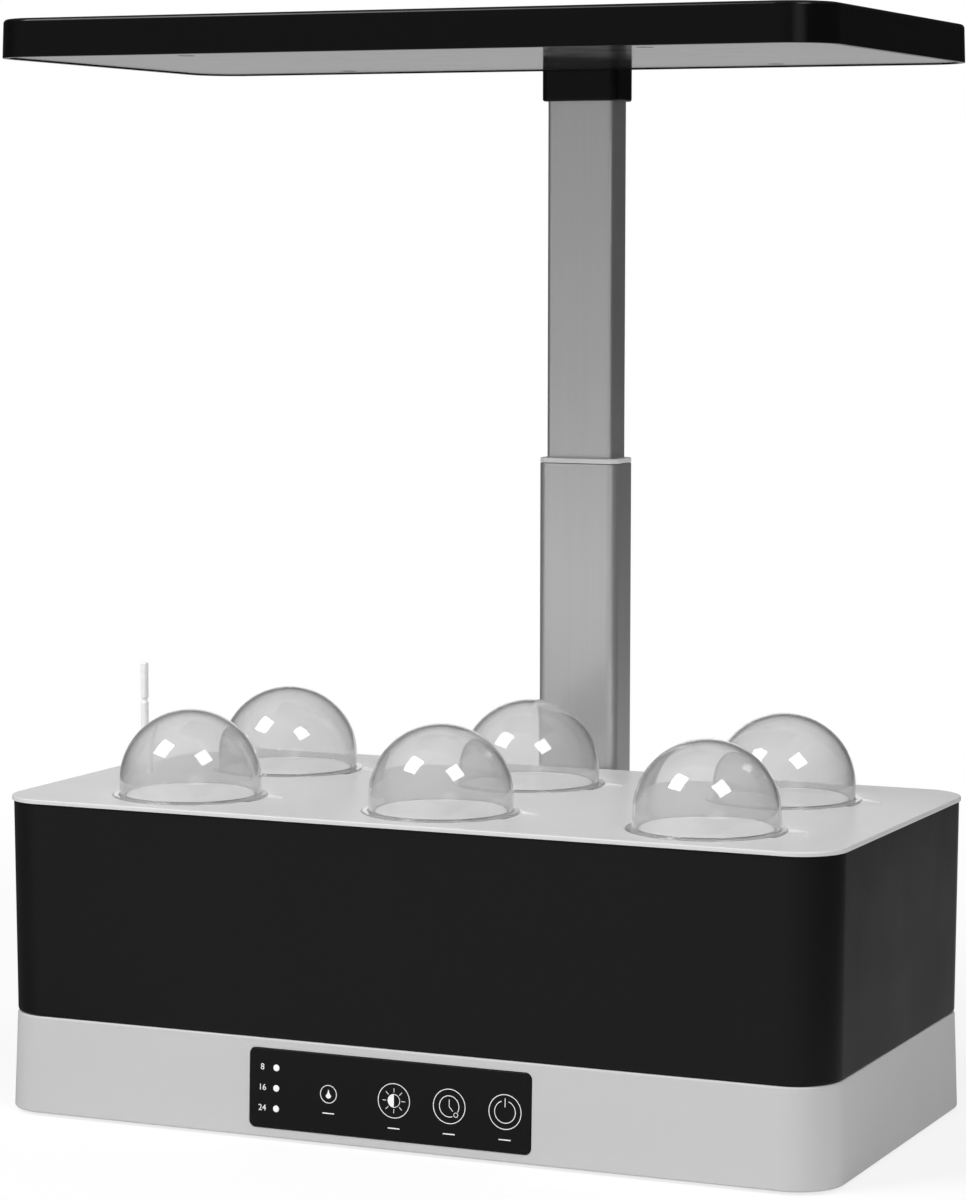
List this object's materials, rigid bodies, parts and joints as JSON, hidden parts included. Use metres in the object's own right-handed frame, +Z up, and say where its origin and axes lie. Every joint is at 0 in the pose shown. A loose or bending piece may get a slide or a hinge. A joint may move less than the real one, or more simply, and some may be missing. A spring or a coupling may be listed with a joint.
{
  "type": "countertop hydroponic garden",
  "caption": "Countertop hydroponic planter: black water tank on a light base with touch keys, clear-domed pods in a removable deck, and a flat grow lamp on a telescoping mast.",
  "frame": {"origin": "centre of the whole footprint, on the table under the feet", "axes": "+X to the right seen from the key side, +Y from the keys to the mast, +Z up"},
  "size_m": [0.35, 0.2094, 0.4322],
  "materials": {
    "light_plastic": "satin light grey",
    "deck_white": "smooth light grey",
    "tank_black": "smooth black",
    "black_plastic": "satin black",
    "fascia_gloss_black": "high gloss black",
    "circuit_board": "green solder mask",
    "clear_plastic": "clear, polished",
    "white_plastic": "satin white",
    "foot_rubber": "matt black",
    "screw_steel": "zinc plated",
    "mast_tube": "brushed and clear anodised",
    "lamp_gloss_black": "high gloss black",
    "lamp_mirror": "glossy smoked diffuser",
    "grow_sponge": "open foam, matt brown"
  },
  "bodies": {
    "root": {"base_housing": "light_plastic", "bottom_cover": "black_plastic", "foot_front_left": "foot_rubber", "foot_front_right": "foot_rubber", "foot_back_left": "foot_rubber", "foot_back_right": "foot_rubber", "base_screw_front_left": "screw_steel", "base_screw_front_right": "screw_steel", "base_screw_back_left": "screw_steel", "base_screw_back_right": "screw_steel", "control_fascia": "fascia_gloss_black", "control_board": "circuit_board", "dc_inlet": "black_plastic", "tank": "tank_black", "pump": "black_plastic", "pump_filter": "light_plastic", "mast_outer_tube": "mast_tube", "mast_collar": "white_plastic"},
    "lamp_head": {"mast_inner_tube": "mast_tube", "mast_glide": "white_plastic", "lamp_bracket": "black_plastic", "bracket_screw_left": "screw_steel", "bracket_screw_right": "screw_steel", "lamp_housing": "lamp_gloss_black", "lamp_panel": "lamp_mirror", "led_board": "white_plastic", "lamp_screw_front_left": "screw_steel", "lamp_screw_front_right": "screw_steel", "lamp_screw_back_left": "screw_steel", "lamp_screw_back_right": "screw_steel"},
    "deck": {"deck": "deck_white"},
    "float": {"level_float": "white_plastic", "float_rod": "white_plastic"},
    "pod_1": {"basket_1": "black_plastic", "sponge_1": "grow_sponge", "cover_disc_1": "deck_white"},
    "dome_1": {"dome_1": "clear_plastic"},
    "pod_2": {"basket_2": "black_plastic", "sponge_2": "grow_sponge", "cover_disc_2": "deck_white"},
    "dome_2": {"dome_2": "clear_plastic"},
    "pod_3": {"basket_3": "black_plastic", "sponge_3": "grow_sponge", "cover_disc_3": "deck_white"},
    "dome_3": {"dome_3": "clear_plastic"},
    "pod_4": {"basket_4": "black_plastic", "sponge_4": "grow_sponge", "cover_disc_4": "deck_white"},
    "dome_4": {"dome_4": "clear_plastic"},
    "pod_5": {"basket_5": "black_plastic", "sponge_5": "grow_sponge", "cover_disc_5": "deck_white"},
    "dome_5": {"dome_5": "clear_plastic"},
    "pod_6": {"basket_6": "black_plastic", "sponge_6": "grow_sponge", "cover_disc_6": "deck_white"},
    "dome_6": {"dome_6": "clear_plastic"}
  },
  "joints": [
    {"name": "mast_slide", "type": "slide", "parent": "root", "child": "lamp_head", "axis": [0, 0, 1], "range_m": [-0.14, 0]},
    {"name": "deck_lift", "type": "slide", "parent": "root", "child": "deck", "axis": [0, 0, 1], "range_m": [0, 0.08]},
    {"name": "float_slide", "type": "slide", "parent": "root", "child": "float", "axis": [0, 0, 1], "range_m": [0, 0.045]},
    {"name": "pod_1_lift", "type": "slide", "parent": "deck", "child": "pod_1", "axis": [0, 0, 1], "range_m": [0, 0.09]},
    {"name": "dome_1_lift", "type": "slide", "parent": "pod_1", "child": "dome_1", "axis": [0, 0, 1], "range_m": [0, 0.05]},
    {"name": "pod_2_lift", "type": "slide", "parent": "deck", "child": "pod_2", "axis": [0, 0, 1], "range_m": [0, 0.09]},
    {"name": "dome_2_lift", "type": "slide", "parent": "pod_2", "child": "dome_2", "axis": [0, 0, 1], "range_m": [0, 0.05]},
    {"name": "pod_3_lift", "type": "slide", "parent": "deck", "child": "pod_3", "axis": [0, 0, 1], "range_m": [0, 0.09]},
    {"name": "dome_3_lift", "type": "slide", "parent": "pod_3", "child": "dome_3", "axis": [0, 0, 1], "range_m": [0, 0.05]},
    {"name": "pod_4_lift", "type": "slide", "parent": "deck", "child": "pod_4", "axis": [0, 0, 1], "range_m": [0, 0.09]},
    {"name": "dome_4_lift", "type": "slide", "parent": "pod_4", "child": "dome_4", "axis": [0, 0, 1], "range_m": [0, 0.05]},
    {"name": "pod_5_lift", "type": "slide", "parent": "deck", "child": "pod_5", "axis": [0, 0, 1], "range_m": [0, 0.09]},
    {"name": "dome_5_lift", "type": "slide", "parent": "pod_5", "child": "dome_5", "axis": [0, 0, 1], "range_m": [0, 0.05]},
    {"name": "pod_6_lift", "type": "slide", "parent": "deck", "child": "pod_6", "axis": [0, 0, 1], "range_m": [0, 0.09]},
    {"name": "dome_6_lift", "type": "slide", "parent": "pod_6", "child": "dome_6", "axis": [0, 0, 1], "range_m": [0, 0.05]}
  ]
}
